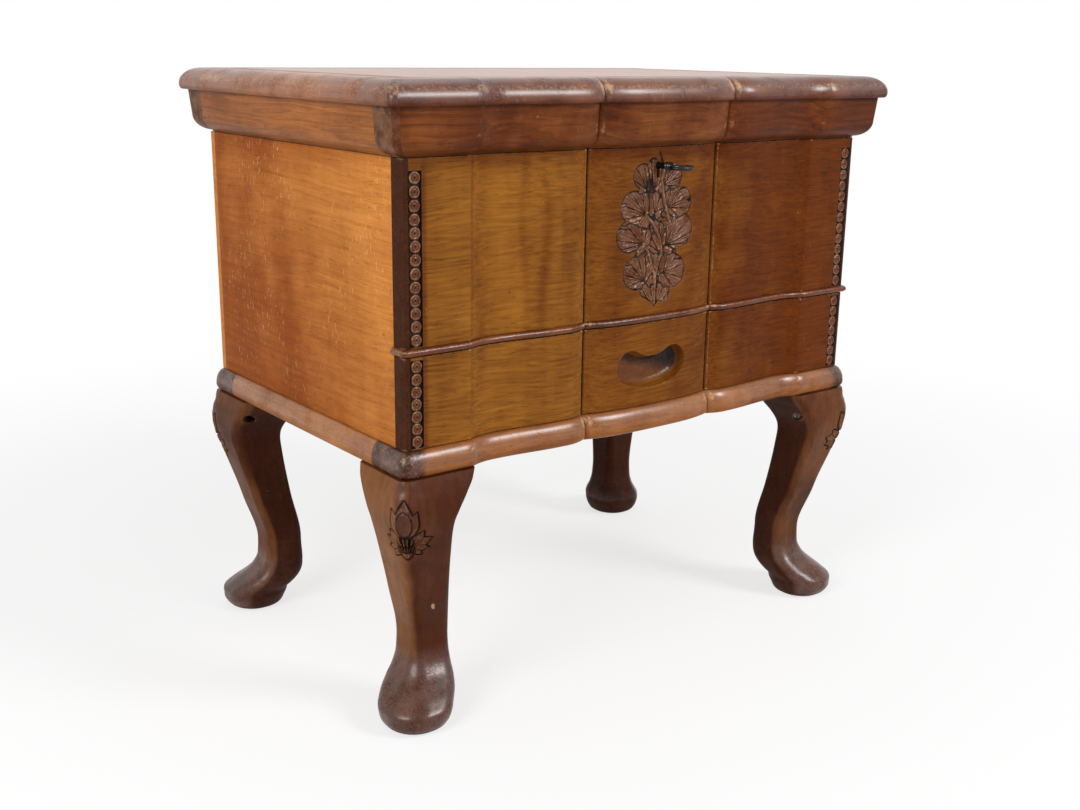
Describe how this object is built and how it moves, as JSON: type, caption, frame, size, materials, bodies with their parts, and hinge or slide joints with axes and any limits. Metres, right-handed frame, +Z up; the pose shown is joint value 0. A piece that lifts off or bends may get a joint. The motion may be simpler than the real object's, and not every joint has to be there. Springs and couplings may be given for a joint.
{
  "type": "sewing box",
  "caption": "Carved wooden sewing box on cabriole legs: wavy moulded front, hinged lid with lock and key, lift-out divided tray, and a drawer with a kidney-shaped finger recess.",
  "frame": {"origin": "on the floor, under the middle of the whole outline with the lid and drawer shut and the key in its lock", "axes": "+X to the right as seen from the front, +Y from the front to the back, +Z up"},
  "size_m": [0.4556, 0.3262, 0.4355],
  "materials": {
    "carved_front": "waxed carved hardwood, warm brown with darker shading bands",
    "case_wood": "waxed golden-brown hardwood with worn spots",
    "moulding_wood": "polished reddish-brown hardwood",
    "leg_wood": "polished dark brown hardwood, darker at the feet",
    "plain_wood": "plain unpolished hardwood",
    "hinge_brass": "dull aged brass",
    "lock_brass": "dull aged brass",
    "lock_iron": "dark iron",
    "key_iron": "black iron, slightly shiny",
    "screw_steel": "plain steel"
  },
  "bodies": {
    "case": {"side_panel_left": "case_wood", "side_panel_right": "case_wood", "back_panel": "case_wood", "upper_front_board": "carved_front", "divider_rail": "moulding_wood", "box_floor": "plain_wood", "base_panel": "plain_wood", "base_moulding_front": "moulding_wood", "base_moulding_back": "moulding_wood", "base_moulding_left": "moulding_wood", "base_moulding_right": "moulding_wood", "leg_front_left": "leg_wood", "leg_front_right": "leg_wood", "leg_back_left": "leg_wood", "leg_back_right": "leg_wood", "leg_dowels": "plain_wood", "leg_screws": "screw_steel", "tray_ledge_left": "plain_wood", "tray_ledge_right": "plain_wood", "lock_case": "lock_brass", "lock_back_plate": "lock_iron", "lock_screws": "screw_steel", "hinge_left_case_leaf": "hinge_brass", "hinge_right_case_leaf": "hinge_brass", "hinge_left_pin": "hinge_brass", "hinge_right_pin": "hinge_brass", "hinge_case_screws": "screw_steel"},
    "lid": {"lid_panel": "moulding_wood", "lid_rim_front": "moulding_wood", "lid_rim_back": "moulding_wood", "lid_rim_left": "moulding_wood", "lid_rim_right": "moulding_wood", "lid_cornice_front": "moulding_wood", "lid_cornice_back": "moulding_wood", "lid_cornice_left": "moulding_wood", "lid_cornice_right": "moulding_wood", "lock_strike_plate": "lock_brass", "strike_screws": "screw_steel", "hinge_left_lid_leaf": "hinge_brass", "hinge_right_lid_leaf": "hinge_brass", "hinge_lid_screws": "screw_steel"},
    "drawer": {"drawer_front": "carved_front", "drawer_side_left": "plain_wood", "drawer_side_right": "plain_wood", "drawer_back": "plain_wood", "drawer_bottom": "plain_wood"},
    "tray": {"tray_front": "plain_wood", "tray_back": "plain_wood", "tray_left": "plain_wood", "tray_right": "plain_wood", "tray_bottom": "plain_wood", "tray_handle_board": "plain_wood", "tray_divider_1": "plain_wood", "tray_divider_2": "plain_wood", "tray_divider_3": "plain_wood", "tray_divider_4": "plain_wood"},
    "key": {"key": "key_iron"},
    "bolt": {"lock_bolt": "lock_brass"}
  },
  "joints": [
    {"name": "lid_hinge", "type": "hinge", "parent": "case", "child": "lid", "pos_m": [0, 0.14845, 0.3885], "axis": [-1, 0, 0], "range_deg": [0, 95]},
    {"name": "drawer_slide", "type": "slide", "parent": "case", "child": "drawer", "axis": [0, -1, 0], "range_m": [0, 0.18]},
    {"name": "tray_lift", "type": "slide", "parent": "case", "child": "tray", "axis": [0, 0, 1], "range_m": [0, 0.028]},
    {"name": "key_turn", "type": "hinge", "parent": "case", "child": "key", "pos_m": [0, -0.13165, 0.3756], "axis": [0, 1, 0], "range_deg": [0, 90]},
    {"name": "bolt_slide", "type": "slide", "parent": "case", "child": "bolt", "axis": [0, 0, 1], "range_m": [0, 0.006]}
  ],
  "couplings": [
    {"joint": "bolt_slide", "follows": "key_turn", "m_per_rad": 0.0038197}
  ]
}
